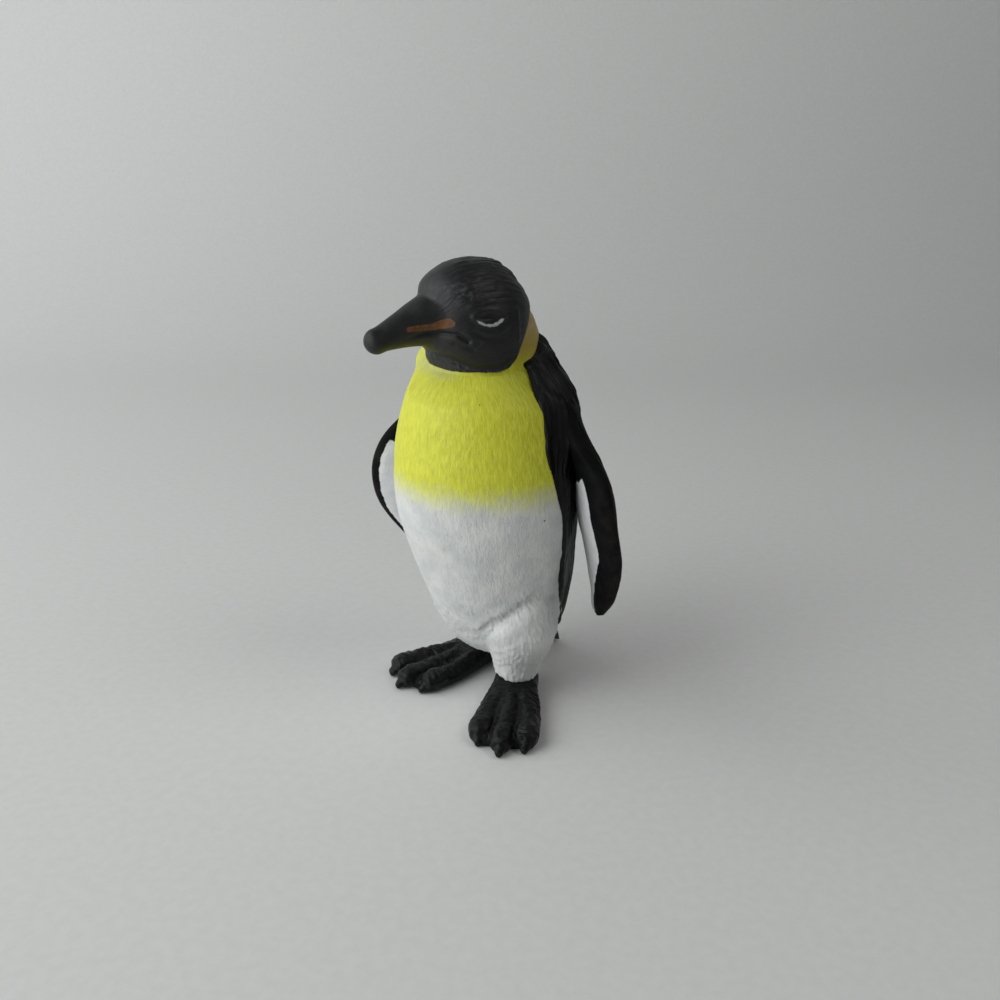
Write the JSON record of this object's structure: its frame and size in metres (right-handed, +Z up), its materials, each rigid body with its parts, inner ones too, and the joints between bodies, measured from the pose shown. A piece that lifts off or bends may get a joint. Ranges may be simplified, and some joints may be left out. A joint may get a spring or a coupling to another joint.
{
  "type": "penguin figurine",
  "caption": "Standing penguin figurine with its head turned aside, flippers held out and swept back, webbed feet in a stride and a tail prop; a free-standing ornament or toy.",
  "frame": {"origin": "on the floor, under the middle of the figurine's outline", "axes": "+Z up, the breast faces -Y, the bird's left side is +X"},
  "size_m": [0.063, 0.0514, 0.096],
  "materials": {
    "body_paint": "satin white paint, yellow on the breast",
    "black_paint": "satin black paint over feather grooves",
    "flipper_paint": "satin black outside, white inside",
    "foot_paint": "satin black over wrinkled skin"
  },
  "bodies": {
    "root": {"body": "body_paint", "mantle": "black_paint", "head": "black_paint", "left_flipper": "flipper_paint", "right_flipper": "flipper_paint", "left_foot": "foot_paint", "right_foot": "foot_paint", "tail": "black_paint"}
  },
  "joints": []
}
